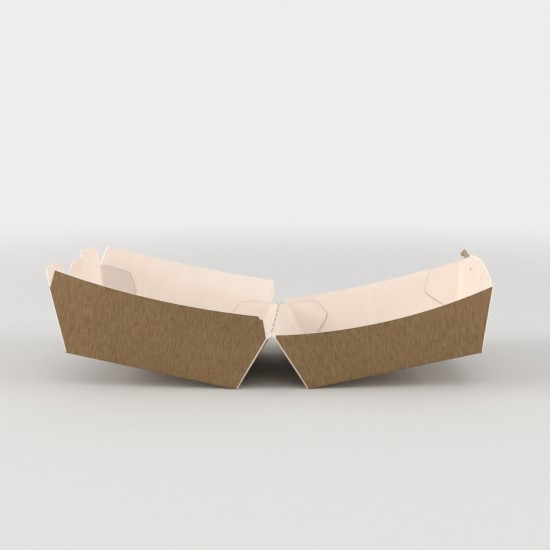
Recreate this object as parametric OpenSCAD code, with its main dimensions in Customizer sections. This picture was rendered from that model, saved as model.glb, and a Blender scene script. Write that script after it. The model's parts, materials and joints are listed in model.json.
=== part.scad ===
// Clamshell burger box, standing open on its two hinge-side folds.
// One sheet of board, kraft outside and pale inside, is folded into two flared
// trays that share a hinge crease: the base with two ears, and the lid with an
// arched tongue that has a slit at each side.
// Each tray is drawn in its own frame: x runs from the bottom fold at the hinge
// wall to the front wall, y across, z up from the outside of the bottom panel.
// The trays then stand tilted, hinge wall to hinge wall, over the floor z = 0.

/* [Board] */
// Thickness of the board
board_t = 0.5; // [0.4:0.05:0.6]
// Radius outside the folds round the bottom panels
fold_r = 0.8; // [0.6:0.1:1.2]

/* [Both trays] */
// Lean of the side walls at their ends
side_flare = 14.3; // [11:0.1:17]
// Lean of the hinge walls between the crease's ends
hinge_flare = 19.4; // [17:0.1:22]
// Lean of the hinge walls at their near corners
hinge_near_flare = 17.3; // [14:0.1:18]
// Lean of the hinge walls at their far corners
hinge_far_flare = 13.1; // [12:0.1:16]
// Height of the hinge crease over a bottom panel
crease_z = 33.2; // [31:0.1:36]
// Length of the hinge crease
crease_len = 86; // [76:1:90]
// Height at which a hinge corner's fold ends
hinge_corner_z = 31.2; // [29:0.1:32]
// Tilt of each tray as the open box stands
tilt = 12.5; // [9:0.5:16]
// Gap left between each hinge wall and the crease line
crease_gap = 0.05; // [0.03:0.01:0.1]

/* [Base tray] */
// Length of the base's bottom panel, hinge to front
base_l = 90; // [80:1:110]
// Width of the base's bottom panel
base_w = 82; // [70:1:100]
// Lean of the base's front wall
base_front_flare = 17.7; // [14:0.1:20]
// Height at which a front corner's fold ends
base_corner_z = 33.1; // [31:0.1:35]
// Height of the side walls' rim at the hinge end
base_rim_hinge_z = 44.3; // [40:0.1:48]
// Height of the side walls' rim at the front end
base_rim_front_z = 43.4; // [40:0.1:48]
// Dip of the side walls' rim between its ends
base_rim_sag = 1.9; // [0.5:0.1:4]
// Outward bow of the side walls, halfway along the rim
base_bow = 6.4; // [5:0.1:8]
// How far the side walls' free hinge ends spread
base_spread = 3.3; // [2.5:0.1:5]
// Outward bow of the front wall at its middle
base_front_bow = 1.6; // [0.5:0.1:3]

/* [Base ears and flap] */
// Height of the two ears' outer corners
ear_z = 42.9; // [41:0.1:46]
// Height of the two ears' inner corners
ear_in_z = 42.4; // [40:0.1:46]
// Half the distance between the ears' outer corners
ear_out = 47; // [40:0.1:48]
// Half the distance between the ears' inner corners
ear_in = 22; // [20:0.1:26]
// Outward lean of the ears' tops
ear_lean = 1; // [0:0.1:1.5]
// Half the gap in the front wall that holds the flap
flap_gap = 17.4; // [16:0.1:19]
// Half the width of the flap between the ears
flap_half = 14.6; // [12:0.1:15]
// Height of the flap
flap_z = 41.4; // [39:0.1:43]
// Radius of the flap's corners
flap_r = 6.5; // [3:0.5:7]
// Inward lean of the flap's top
flap_lean = 3.4; // [2:0.1:5]

/* [Lid tray] */
// Length of the lid's top panel, hinge to front
lid_l = 91.5; // [81:0.5:112]
// Lean of the lid's front wall
lid_front_flare = 15.8; // [13:0.1:18]
// Height at which the lid's front corner folds end
lid_corner_z = 35; // [33:0.1:36]
// Height of the lid's rim at the hinge end
lid_rim_hinge_z = 34.4; // [33:0.1:36]
// Dip of the lid's side rims between their ends
lid_rim_sag = 3.4; // [2:0.1:5]
// Outward bow of the lid's side walls, halfway along the rim
lid_bow = 6.3; // [4:0.1:6.6]
// How far the lid's rims draw in at the hinge end, to pass inside the base's
lid_draw = 0.4; // [0.2:0.1:1]
// Outward bow of the lid's front wall at its middle
lid_front_bow = 0.7; // [0.2:0.1:2.5]
// Side play between the lid's walls and the base's once closed
nest_gap = 0.6; // [0.5:0.1:1]

/* [Lid tongue] */
// Height of the tongue's arch in the middle
tongue_z = 42.5; // [42:0.1:46]
// Radius of the tongue's arch
tongue_r = 177; // [130:1:200]
// Height of the slits under the tongue's wings
slit_z = 35.6; // [35.3:0.1:36.5]
// Width of a slit
slit_w = 0.3; // [0.2:0.05:0.5]
// Half the width of the tongue between its slits
tongue_half = 15; // [10:0.5:20]
// Where the creased wing's fold leaves the arch
wing_fold_y = 20; // [18:0.5:26]
// Where the creased wing's flat part ends
wing_foot_y = 38.5; // [34:0.5:40]
// Height of the fold there
wing_foot_z = 37.3; // [36.8:0.1:39]
// How far out the creased wing's tip stands
wing_out = 1.7; // [1:0.1:4]
// How high the creased wing's tip stands
wing_tip_z = 42.1; // [40:0.1:45]

/* [Glued corner tabs] */
// Length of the tabs from the hinge corners
hinge_tab_l = 23.5; // [18:0.5:26]
// Length of the tabs from the front corners
front_tab_l = 22.5; // [18:0.5:26]
// Drop of the tabs' upper edge under the corner's end
tab_drop = 1; // [0.4:0.1:1.5]

/* [Hidden] */

kraft = [0.60, 0.47, 0.33];

// Steps along a side rim, up a wall, along a tab, along the arch and a wing
rim_steps = 16;
wall_steps = 4;
tab_steps = 9;
arch_steps = 8;
wing_steps = 10;
// The wall's upper rows start this far under the corner's end
row_drop = 0.5;
top_steps = 3;
// Inside radius of the folds round the bottom panels
fold_in = max(fold_r - board_t, 0.2);
// A fold's round is drawn through this share of its radius
round_share = 0.3;
// Share of the hinge wall's half width that turns into the corner
corner_share = 0.12;
// Cut-backs of the base's side walls from the hinge corners' lines, low down and at
// the rim, as [near, far], those of the lid's, and that at the base's front
hinge_cut_low = [2.5, 0.3];
hinge_cut_top = [8.6, 5.5];
lid_hinge_cut = [1.5, 0.2];
front_cut = 6.3;
// The low cut ends at this height
hinge_cut_low_z = 35.3;
// Rounding drops along the ears' and flap's outlines
ear_round = 0.5;
ear_slope_h = 4.3;
flap_foot_h = 2.4;
flap_side_h = 0.6;
flap_taper = 0.7;
// Slant of the slits' and the gap's sides
edge_slant = 0.1;
slit_slant = 0.3;
// A tab starts this high over the bottom panel, and this deep in the wall it comes from
tab_foot = 2.5;
tab_root = 0.12;
// Outlines of the tabs: shares of the tab's height over shares of its length
hinge_tab_low = [[0, 0], [0.5, 0.3], [0.88, 0.54], [0.96, 0.6], [1, 0.68]];
hinge_tab_high = [[0, 1], [0.8, 0.92], [0.89, 0.89], [0.95, 0.84], [1, 0.72]];
front_tab_low = [[0, 0], [0.5, 0.29], [0.85, 0.48], [0.95, 0.56], [1, 0.66]];
front_tab_high = [[0, 1], [0.8, 0.97], [0.88, 0.94], [0.94, 0.88], [1, 0.7]];
// Overlap of a wing with the tongue, and how far its tip drops to its shoulder
wing_lap = 0.6;
wing_shoulder = 1.5;
// The creased wing's tip stands this far out from the middle
wing_tip_y = 44.5;
// Height over which an ear or the flap leans
lean_h = 10;
// Glued layers start this deep in the wall they are glued to
glue_depth = 0.4 * board_t;
// Least height of a wing at its tip
wing_min = 0.6;

// The lid nests inside the base's side walls
lid_w = base_w - 2 * (board_t + nest_gap);

// A tray's own values, by place in its list
LENGTH = 0;
WIDTH = 1;
FRONT = 2;
CORNER_Z = 3;
BOW = 4;
SPREAD = 5;
FRONT_BOW = 6;
RIM = 7;
base = [base_l, base_w, tan(base_front_flare), base_corner_z,
        base_bow / (base_rim_hinge_z - base_rim_sag),
        base_spread / (base_rim_hinge_z - hinge_corner_z), base_front_bow / base_corner_z,
        [base_rim_hinge_z, base_rim_front_z, base_rim_sag, hinge_cut_top, front_cut]];
lid = [lid_l, lid_w, tan(lid_front_flare), lid_corner_z,
       lid_bow / (lid_rim_hinge_z - lid_rim_sag),
       -lid_draw / (lid_rim_hinge_z - hinge_corner_z), lid_front_bow / lid_corner_z,
       [lid_rim_hinge_z, lid_corner_z, lid_rim_sag, lid_hinge_cut, 0]];

function mix(a, b, s) = a + (b - a) * s;
function clamp01(s) = max(0, min(1, s));

// Where the walls' outer planes meet at height z, on side s: -1 near, 1 far
function hinge_x(s, z) = -z * tan(s < 0 ? hinge_near_flare : hinge_far_flare);
function front_x(T, z) = T[LENGTH] + z * T[FRONT];
function side_y(T, z) = T[WIDTH] / 2 + z * tan(side_flare);

// Points of the four walls, o inside their outer faces. On a side wall u runs
// from the hinge corner to the front corner, and on the others from -y to +y.
function side_point(T, s, u, z, o) =
    let (bow = T[BOW] * z * 4 * u * (1 - u),
         spread = T[SPREAD] * max(0, z - hinge_corner_z) * pow(1 - u, 2))
    [mix(hinge_x(s, z) + o, front_x(T, z) - o, u),
     s * (side_y(T, z) + bow + spread - o), z];

function front_point(T, u, z, o, lean) =
    let (bow = T[FRONT_BOW] * z * 4 * u * (1 - u),
         tip = lean * max(0, z - T[CORNER_Z]) / lean_h,
         half = side_y(T, z) - o)
    [front_x(T, z) + bow + tip - o, mix(-half, half, u), z];

function hinge_point(T, u, z, o) =
    let (half = side_y(T, z) - o,
         share = clamp01((1 - abs(2 * u - 1)) / corner_share))
    [mix(hinge_x(u - 0.5, z), -z * tan(hinge_flare), share) + o,
     mix(-half, half, u), z];

// Walls in the order in which the rim is followed
NEAR = 0;
FACE = 1;
FAR = 2;
BACK = 3;
function wall_point(T, wall, u, z, o, lean) =
    wall == NEAR ? side_point(T, -1, u, z, o)
    : wall == FACE ? front_point(T, u, z, o, lean)
    : wall == FAR ? side_point(T, 1, u, z, o)
    : hinge_point(T, u, z, o);

// Share along a side wall of the point x, z, and along a cross wall of y, z
function side_share(T, s, x, z) =
    (x - hinge_x(s, z)) / (front_x(T, z) - hinge_x(s, z));
function cross_share(T, y, z) = 0.5 + y / (2 * side_y(T, z));

// A side wall's rim as [share, height], from the hinge corner to the front one
function side_rim(T, s) =
    let (r = T[RIM],
         end = s < 0 ? 0 : 1,
         x0 = hinge_x(s, r[0]) + r[3][end],
         x1 = front_x(T, r[1]) - r[4],
         x_low = hinge_x(s, hinge_cut_low_z) + hinge_cut_low[end],
         low = [side_share(T, s, x_low, hinge_cut_low_z), hinge_cut_low_z],
         curve = [for (i = [0:rim_steps])
                      let (u = i / rim_steps,
                           x = mix(x0, x1, u),
                           z = mix(r[0], r[1], u) - 4 * r[2] * u * (1 - u))
                      [side_share(T, s, x, z), z]])
    concat([[0, hinge_corner_z]],
           r[0] > hinge_cut_low_z ? [low] : [],
           [for (p = curve) if (p[0] < 0.999) p]);

// The base's front edge from its corner to the middle, as [y, z, lean]
flap_foot_z = base_corner_z + flap_foot_h;
base_front_half = concat(
    [[ear_out, ear_z - ear_round, ear_lean], [ear_out - 2 * ear_round, ear_z, ear_lean],
     [ear_in, ear_in_z, ear_lean], [flap_gap + flap_side_h, ear_in_z - ear_slope_h, ear_lean],
     [flap_gap + edge_slant, flap_foot_z + flap_side_h, ear_lean],
     [flap_gap, flap_foot_z, 0],
     [flap_half + edge_slant, flap_foot_z, -flap_lean],
     [flap_half, flap_foot_z + flap_side_h, -flap_lean]],
    [for (a = [0:15:90])
         [flap_half - flap_taper - flap_r + flap_r * cos(a),
          flap_z - flap_r + flap_r * sin(a), -flap_lean]]);

// The lid's front edge from its corner to the middle, without the wings
function arch_z(y) = tongue_z - tongue_r + sqrt(tongue_r * tongue_r - y * y);
lid_front_half = concat(
    [[tongue_half + slit_slant, slit_z - edge_slant, 0],
     [tongue_half + edge_slant, slit_z + slit_w, 0]],
    [for (i = [0:arch_steps - 1])
         let (y = tongue_half * (1 - i / arch_steps)) [y, arch_z(y), 0]],
    [[0, tongue_z, 0]]);

function mirrored(half) =
    let (n = len(half),
         last = half[n - 1][0] == 0 ? n - 2 : n - 1)
    concat([for (p = half) [-p[0], p[1], p[2]]],
           [for (i = [last:-1:0]) half[i]]);

// The whole rim as [wall, share, height, lean], counter-clockwise from above
function rim(T, half) =
    let (side = side_rim(T, -1), far = side_rim(T, 1), n = len(far))
    concat([for (p = side) [NEAR, p[0], p[1], 0]],
           [[FACE, 0, T[CORNER_Z], 0]],
           [for (p = mirrored(half)) [FACE, cross_share(T, p[0], p[1]), p[1], p[2]]],
           [[FACE, 1, T[CORNER_Z], 0]],
           [for (i = [n - 1:-1:1]) [FAR, far[i][0], far[i][1], 0]],
           [[BACK, 1, hinge_corner_z, 0]],
           [for (y = [1, 0.5, 0, -0.5, -1])
                let (z = crease_z - crease_gap)
                [BACK, cross_share(T, y * crease_len / 2, z), z, 0]]);

// Rows of a wall face as [height, inset]: the fold's round, then up to the top
function rows(T, top, z0, r) =
    let (mid = min(T[CORNER_Z], top) - row_drop,
         foot = z0 + r)
    concat([[z0, r], [z0 + round_share * r, round_share * r]],
           [for (i = [0:wall_steps - 1]) [mix(foot, mid, i / wall_steps), 0]],
           [for (i = [0:top_steps]) [mix(mid, top, i / top_steps), 0]]);
row_count = 2 + wall_steps + top_steps + 1;

function shell_face(T, edge, o, z0, r) =
    [for (e = edge)
         for (row = rows(T, e[2], z0, r))
             wall_point(T, e[0], e[1], row[0], o + row[1], e[3])];
function shell_points(T, edge) =
    concat(shell_face(T, edge, 0, 0, fold_r),
           shell_face(T, edge, board_t, board_t, fold_in));

// A tray without its tabs: bottom and walls as one closed shell
module shell(T, edge) {
    n = len(edge);
    m = row_count;
    inside = n * m;
    top = m - 1;
    walls = [for (i = [0:n - 1])
                 let (a = i * m, b = (i + 1) % n * m)
                 for (j = [0:m - 2]) each [
                     [a + j, a + j + 1, b + j + 1, b + j],
                     [inside + a + j, inside + b + j, inside + b + j + 1, inside + a + j + 1]]];
    lip = [for (i = [0:n - 1])
               let (a = i * m + top, b = (i + 1) % n * m + top)
               [a, inside + a, inside + b, b]];
    bottom = [[for (i = [0:n - 1]) i * m],
              [for (i = [n - 1:-1:0]) inside + i * m]];
    polyhedron(points = shell_points(T, edge), faces = concat(walls, lip, bottom),
               convexity = 6);
}

// A slab between two upright edges, each given by its four corner points
module slab(a, b)
    hull()
        polyhedron(points = concat(a, b),
                   faces = [[0, 1, 2, 3], [7, 6, 5, 4], [0, 4, 5, 1], [1, 5, 6, 2],
                            [2, 6, 7, 3], [3, 7, 4, 0]]);

// A tab glued inside side wall s, from the hinge wall or from the front wall
module tab(T, s, at_front, length, top, low, high) {
    // Both faces at a distance along from the corner's inside
    function corner(away, z, o) =
        let (x = at_front ? front_x(T, z) - board_t - away : hinge_x(s, z) + board_t + away,
             p = side_point(T, s, side_share(T, s, x, z), z, 0))
        [x, p[1] - s * o, z];
    function edge(share) =
        let (z0 = mix(tab_foot, top, lookup(share, low)),
             z1 = max(mix(tab_foot, top, lookup(share, high)), z0 + glue_depth),
             away = share * length - tab_root)
        [corner(away, z0, glue_depth), corner(away, z1, glue_depth),
         corner(away, z1, 2 * board_t), corner(away, z0, 2 * board_t)];
    for (i = [0:tab_steps - 1])
        slab(edge(i / tab_steps), edge((i + 1) / tab_steps));
}

// The four tabs of a tray, from its hinge wall and from its front wall
module tabs(T)
    for (s = [-1, 1]) {
        tab(T, s, false, hinge_tab_l, hinge_corner_z - tab_drop, hinge_tab_low, hinge_tab_high);
        tab(T, s, true, front_tab_l, T[CORNER_Z] - tab_drop, front_tab_low, front_tab_high);
    }

// Height of a wing of the tongue over its slit
function wing_top(y, creased) =
    creased ? min(arch_z(y), mix(arch_z(wing_fold_y), wing_foot_z,
                                 (y - wing_fold_y) / (wing_foot_y - wing_fold_y)))
            : arch_z(y);
wing_end = sqrt(tongue_r * tongue_r
                - pow(slit_z + slit_w + wing_min - tongue_z + tongue_r, 2));
wing_tip = front_point(lid, cross_share(lid, wing_tip_y, wing_tip_z), wing_tip_z, 0, 0)
           + [wing_out, 0, 0];

module wing(s, creased) {
    z0 = slit_z + slit_w;
    y0 = tongue_half - wing_lap;
    y1 = creased ? wing_foot_y : wing_end;
    function at(y, z, o) = front_point(lid, cross_share(lid, s * y, z), z, o, 0);
    function edge(y) =
        let (z1 = max(wing_top(y, creased), z0 + wing_min / 2))
        [at(y, z0, 0), at(y, z1, 0), at(y, z1, board_t), at(y, z0, board_t)];
    for (i = [0:wing_steps - 1])
        slab(edge(mix(y0, y1, i / wing_steps)), edge(mix(y0, y1, (i + 1) / wing_steps)));
    // The folded part stands up and out, from the crease to its tip
    fold = [wing_fold_y, arch_z(wing_fold_y) - glue_depth];
    foot = [wing_foot_y, wing_foot_z - glue_depth];
    tip = [wing_tip_y, wing_tip_z];
    heel = tip - [0, wing_shoulder];
    function across(p, q, d) =
        [at(p[0], p[1], 0) + [d, 0, 0], at(q[0], q[1], 0) + [d, 0, 0],
         at(q[0], q[1], board_t) + [d, 0, 0], at(p[0], p[1], board_t) + [d, 0, 0]];
    if (creased) {
        middle = across((fold + tip) / 2, (foot + heel) / 2, wing_out / 2);
        slab(across(fold, foot, 0), middle);
        slab(middle, across(tip, heel, wing_out));
    }
}

// How far the crease stands from the bottom fold's corner, level with the floor
foot_x = crease_z * (tan(hinge_flare) * cos(tilt) + sin(tilt));
base_edge = rim(base, base_front_half);
lid_edge = rim(lid, lid_front_half);
function stood_x(p) = foot_x + p[0] * cos(tilt) - p[2] * sin(tilt);
function stood_z(p) = p[0] * sin(tilt) + p[2] * cos(tilt);
base_reach = max([for (p = shell_points(base, base_edge)) stood_x(p)]);
lid_reach = max([for (p = concat(shell_points(lid, lid_edge), [wing_tip])) stood_x(p)]);
// The crease stands a little off the middle, and the lowest fold on the floor
crease_x = (base_reach - lid_reach) / 2;
lift = -min([for (p = shell_points(base, base_edge)) stood_z(p)]);

// Stands a tray open: side -1 is the base's side, side 1 is the lid's
module stood(side)
    translate([crease_x, 0, lift])
        mirror([side < 0 ? 1 : 0, 0, 0])
            translate([foot_x, 0, 0])
                rotate([0, -tilt, 0])
                    children();

module base_tray()
    color(kraft)
        stood(-1) {
            shell(base, base_edge);
            tabs(base);
        }

module lid_tray()
    color(kraft)
        stood(1) {
            shell(lid, lid_edge);
            tabs(lid);
            wing(-1, false);
            wing(1, true);
        }

base_tray();
lid_tray();
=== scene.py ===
"""Dresses an open clamshell burger box: folded kraft board, pale inside, on a plain pale floor.

Both trays are drawn in their own frame: x runs from the fold at the hinge wall to the front
wall, y across, z up from the outside of the bottom panel. They stand at the crease of the
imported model, so nothing here is fitted to it by eye.
"""

import json
import math

import bmesh
import bpy
from bpy.props import FloatProperty, FloatVectorProperty, IntProperty, PointerProperty
from mathutils import Euler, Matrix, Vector, noise


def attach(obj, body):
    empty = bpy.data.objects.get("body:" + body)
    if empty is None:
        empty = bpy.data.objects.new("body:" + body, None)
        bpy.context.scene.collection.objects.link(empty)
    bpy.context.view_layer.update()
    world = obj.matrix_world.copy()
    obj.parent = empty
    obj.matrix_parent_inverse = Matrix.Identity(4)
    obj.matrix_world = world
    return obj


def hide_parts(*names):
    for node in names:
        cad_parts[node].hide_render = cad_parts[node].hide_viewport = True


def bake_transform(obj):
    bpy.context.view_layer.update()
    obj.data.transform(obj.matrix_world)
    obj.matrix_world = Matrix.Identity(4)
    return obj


bl_info = {
    "name": "Clamshell Burger Box",
    "version": (1, 0, 0),
    "blender": (4, 5, 0),
    "location": "3D View > Sidebar > Burger Box",
    "description": "Builds an open burger box of folded kraft board over its packed solids",
    "category": "Object",
}

MM = 0.001
# Points closer than this count as one
TINY = 0.001 * MM

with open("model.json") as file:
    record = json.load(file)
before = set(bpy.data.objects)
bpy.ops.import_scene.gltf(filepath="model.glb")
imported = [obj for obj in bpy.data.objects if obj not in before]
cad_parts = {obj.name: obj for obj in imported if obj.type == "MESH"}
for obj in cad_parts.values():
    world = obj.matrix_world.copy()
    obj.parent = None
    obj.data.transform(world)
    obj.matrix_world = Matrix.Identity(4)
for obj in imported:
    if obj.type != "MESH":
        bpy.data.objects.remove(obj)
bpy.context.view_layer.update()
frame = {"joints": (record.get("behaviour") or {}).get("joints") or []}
CREASE = Vector(frame["joints"][0]["pos_m"])
# The side of the crease that a tray lies on, along x
BASE_SIDE = -1
LID_SIDE = 1


def srgb(red, green, blue):
    """A colour given as 0 to 255 per channel, as the linear numbers that Blender wants."""
    def linear(channel):
        share = channel / 255
        return share / 12.92 if share <= 0.04045 else ((share + 0.055) / 1.055) ** 2.4
    return tuple(linear(channel) for channel in (red, green, blue))


def mix(a, b, share):
    """a where share is 0, b where it is 1, and straight between them."""
    return a + (b - a) * share


def clamp(value, low=0.0, high=1.0):
    return max(low, min(high, value))


# Settings, which the panel shows


def length(name, description, millimetres):
    return FloatProperty(name=name, description=description, default=millimetres * MM,
                         subtype="DISTANCE", unit="LENGTH", precision=4)


def angle(name, description, degrees):
    return FloatProperty(name=name, description=description, default=math.radians(degrees),
                         subtype="ANGLE", unit="ROTATION")


def colour(name, description, red, green, blue):
    return FloatVectorProperty(name=name, description=description, subtype="COLOR", size=3,
                               default=srgb(red, green, blue), min=0, max=1)


def number(name, description, value):
    return FloatProperty(name=name, description=description, default=value)


class BoardSettings(bpy.types.PropertyGroup):
    thickness: length("Thickness", "Thickness of the board", 0.5)
    fold_radius: length("Fold Radius", "Radius outside the folds round the bottoms", 0.8)
    kraft: colour("Kraft", "Main colour of the brown outside", 158, 128, 90)
    kraft_dark: colour("Kraft Fibres", "Colour of the dark fibres outside", 125, 96, 62)
    # Darker kraft: a line under the cut rims, and painted shade in the hooks' lips, the tabs' lips and
    # the crease's cuts
    pressed: colour("Pressed Rim", "Kraft just under the cut rims", 132, 105, 72)
    pressed_dark: colour("Pressed Rim Fibres", "Fibres just under the cut rims", 98, 74, 46)
    cream: colour("Cream", "Main colour of the pale inside", 247, 233, 221)
    cream_dark: colour("Cream Shade", "Colour of the inside's faint clouds", 232, 216, 205)
    shaded: colour("Shaded Cream", "Main colour of the base's front tabs and torn ears", 225, 213, 203)
    shaded_dark: colour("Shaded Clouds", "Colour of the clouds on them", 209, 197, 187)
    cut: colour("Cut Edge", "Colour of the cut edges", 254, 246, 232)
    cut_dark: colour("Cut Edge Fibres", "Colour of the fibres in the cut edges", 232, 214, 190)
    torn: colour("Torn Kraft", "Kraft of the scraps torn at the cuts", 214, 182, 150)
    torn_dark: colour("Torn Fibres", "Fibres of those scraps", 176, 142, 110)
    # Grey lining: painted shade on the creased wing's lining and painted shadow lines on the tabs'
    # lips, with specks
    worn: colour("Worn Lining", "Colour of the lining where the wing is creased", 206, 194, 182)
    worn_dark: colour("Worn Specks", "Colour of the specks there", 120, 108, 96)


class ShapeSettings(bpy.types.PropertyGroup):
    side_flare: angle("Side Flare", "Lean of the side walls at their ends", 14.3)
    hinge_flare: angle("Hinge Flare", "Lean of the hinge walls at the crease", 19.4)
    hinge_near_flare: angle("Near Corner Flare", "Lean of the hinge walls' near corners", 17.3)
    hinge_far_flare: angle("Far Corner Flare", "Lean of the hinge walls' far corners", 13.1)
    crease_height: length("Crease Height", "Height of the crease over a bottom panel", 33.2)
    crease_near: length("Near Crease End", "How far the crease runs to the near side", 38.7)
    crease_far: length("Far Crease End", "How far the crease runs to the far side", 43)
    hinge_corner: length("Hinge Corner", "Height at which a hinge corner ends", 31.2)
    tilt: angle("Tilt", "Tilt of each tray as the open box stands", 12.5)
    lean_height: length("Lean Height", "Height over which an ear or the flap leans", 10)
    low_cut_near: length("Near Low Cut", "Cut-back of the base over its near corner", 2.5)
    low_cut_far: length("Far Low Cut", "Cut-back of the base over its far corner", 0.3)
    low_cut_height: length("Low Cut Height", "Height at which that cut ends", 35.3)
    ripple: length("Ripple", "How far the walls wander from their drawn shape", 0.16)
    ripple_size: length("Ripple Size", "Distance over which the walls wander", 26)


class BaseSettings(bpy.types.PropertyGroup):
    length: length("Length", "Length of the bottom panel, hinge to front", 90.1)
    width: length("Width", "Width of the bottom panel", 82)
    front_flare: angle("Front Flare", "Lean of the front wall", 18.2)
    corner: length("Front Corner", "Height at which a front corner's fold ends", 32.6)
    rim_hinge: length("Rim at Hinge", "Height of the side rims at the hinge end", 44.3)
    rim_front: length("Rim at Front", "Height of the side rims at the front end", 43.4)
    rim_sag: length("Rim Dip", "Dip of the side rims between their ends", 1.9)
    bow: length("Side Bow", "Outward bow of the side walls, halfway along the rim", 6.4)
    spread: length("Hinge Spread", "How far the side walls' free hinge ends spread", 3.3)
    front_bow: length("Front Bow", "Outward bow of the front wall at its middle", 1.6)
    hinge_cut_near: length("Near Hinge Cut", "Cut-back of the near rim at the hinge", 8.6)
    hinge_cut_far: length("Far Hinge Cut", "Cut-back of the far rim at the hinge", 5.5)
    front_cut_near: length("Near Front Cut", "Cut-back of the near rim at the front", 6.3)
    front_cut_far: length("Far Front Cut", "Cut-back of the far rim at the front", 5.5)
    near_hinge: length("Near Rim at Hinge", "Height of the near rim at the hinge end", 44.3)
    near_front: length("Near Rim at Front", "Height of the near rim at the front end", 44.1)
    near_sag: length("Near Rim Dip", "Dip of the near rim between its ends", 2.55)
    ear_height: length("Ear Height", "Height of the ears' outer corners", 42.9)
    ear_in_height: length("Ear Inner Height", "Height of the ears' inner corners", 42.7)
    ear_out: length("Ear Outside", "Half the distance between the ears' outer corners", 47)
    ear_in: length("Ear Inside", "Half the distance between the ears' inner corners", 22)
    ear_lean: length("Ear Lean", "Outward lean of the ears' tops", 0.6)
    gap: length("Flap Gap", "Half the gap in the front wall that holds the flap", 17.4)
    flap_half: length("Flap Half Width", "Half the width of the flap", 14.6)
    flap_height: length("Flap Height", "Height of the flap", 41.4)
    flap_radius: length("Flap Radius", "Radius of the flap's corners", 6.5)
    flap_lean: length("Flap Lean", "Inward lean of the flap's top", 3.8)


class LidSettings(bpy.types.PropertyGroup):
    length: length("Length", "Length of the top panel, hinge to front", 92.05)
    width: length("Width", "Width of the top panel", 79.8)
    front_flare: angle("Front Flare", "Lean of the front wall", 15.8)
    corner: length("Front Corner", "Height at which a front corner's fold ends", 35.2)
    rim_hinge: length("Rim at Hinge", "Height of the side rims at the hinge end", 34.4)
    rim_front: length("Rim at Front", "Height of the side rims at the front end", 35.2)
    rim_sag: length("Rim Dip", "Dip of the side rims between their ends", 3.4)
    bow: length("Side Bow", "Outward bow of the side walls, halfway along the rim", 6.3)
    spread: length("Hinge Spread", "How far the rims spread at the hinge end", -0.4)
    front_bow: length("Front Bow", "Outward bow of the front wall at its middle", 0.3)
    hinge_cut_near: length("Near Hinge Cut", "Cut-back of the near rim at the hinge", 1.5)
    hinge_cut_far: length("Far Hinge Cut", "Cut-back of the far rim at the hinge", 0.6)
    front_cut_near: length("Near Front Cut", "Cut-back of the near rim at the front", 0)
    front_cut_far: length("Far Front Cut", "Cut-back of the far rim at the front", 0)
    near_hinge: length("Near Rim at Hinge", "Height of the near rim at the hinge end", 33.65)
    near_front: length("Near Rim at Front", "Height of the near rim at the front end", 35.1)
    near_sag: length("Near Rim Dip", "Dip of the near rim between its ends", 4.5)
    tongue_height: length("Tongue Height", "Height of the tongue's arch in the middle", 42.7)
    tongue_radius: length("Tongue Radius", "Radius of the tongue's arch", 140)
    tongue_half: length("Tongue Half Width", "Half the tongue between its slits", 15)
    slit_height: length("Slit Height", "Height of the slits under the wings", 35.6)
    slit_width: length("Slit Width", "Width of a slit", 0.12)
    hook_depth: length("Hook Depth", "How far down the slits' slanted inner ends may run", 2.6)
    wing_fold: length("Wing Fold", "Where the creased wing's fold leaves the arch", 20.5)
    wing_step: length("Fold Step", "How far under the arch that fold starts", 1)
    wing_foot: length("Wing Foot", "Where the creased wing's flat part ends", 37.8)
    wing_foot_height: length("Fold Height", "Height of the wing's fold there", 36.5)
    wing_tip: FloatVectorProperty(
        name="Wing Tip", description="Creased wing's tip: out, across and up", size=3,
        default=(1.15 * MM, 44 * MM, 42.2 * MM), subtype="TRANSLATION", unit="LENGTH")
    wing_shoulder: FloatVectorProperty(
        name="Wing Shoulder", description="Corner under the tip: out, across and up", size=3,
        default=(0.46 * MM, 44 * MM, 41.3 * MM), subtype="TRANSLATION", unit="LENGTH")


class TabSettings(bpy.types.PropertyGroup):
    hinge_length: length("Hinge Tab", "Length of the tabs from the hinge corners", 19.8)
    front_length: length("Front Tab", "Length of the tabs from the front corners", 20.6)
    drop: length("Tab Drop", "Drop of a tab's upper edge under the corner's end", 0.8)
    under_rim: length("Under Rim", "How far a tab stays under its side wall's rim", 0.4)
    foot: length("Tab Foot", "Height at which a tab starts over the bottom panel", 2.5)
    corner_radius: length("Corner Radius", "Inside radius where a wall turns into a tab", 0.7)


class CreaseSettings(bpy.types.PropertyGroup):
    reach: length("Reach", "How far the crease's strip reaches down each wall", 0.6)
    cut: length("Cut", "Length of a cut of the perforation", 9.5)
    bridge: length("Bridge", "Board left between two cuts", 4)
    cut_width: length("Cut Width", "Width of a cut", 0.55)
    ear_y: length("Ear Place", "Where the two torn ears stand, past the far end", 0.4)


class StageSettings(bpy.types.PropertyGroup):
    floor: colour("Floor", "Colour of the floor", 232, 231, 229)
    backdrop: colour("Backdrop", "Colour of the backdrop, far behind the box", 238, 237, 236)
    frame_size: IntProperty(name="Picture Size", description="Side of the picture in pixels",
                            default=550)
    focus: number("Focal Length", "Focal length of the view, in pixels", 829.96)
    centre_x: number("Centre X", "Pixel column that the camera points at", 308.2)
    centre_y: number("Centre Y", "Pixel row that the camera points at", 352.7)
    camera: FloatVectorProperty(
        name="Camera", description="The camera's place from the middle of the crease", size=3,
        default=(23.57 * MM, -455.94 * MM, 92.6 * MM), subtype="TRANSLATION", unit="LENGTH")
    pitch: angle("Pitch", "How far the camera looks down", 13.86)
    yaw: angle("Yaw", "How far the camera turns to the left", 0.67)


class BurgerBoxSettings(bpy.types.PropertyGroup):
    board: PointerProperty(type=BoardSettings)
    shape: PointerProperty(type=ShapeSettings)
    base: PointerProperty(type=BaseSettings)
    lid: PointerProperty(type=LidSettings)
    tabs: PointerProperty(type=TabSettings)
    crease: PointerProperty(type=CreaseSettings)
    stage: PointerProperty(type=StageSettings)


def settings():
    return bpy.context.scene.burger_box


# Materials


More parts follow.
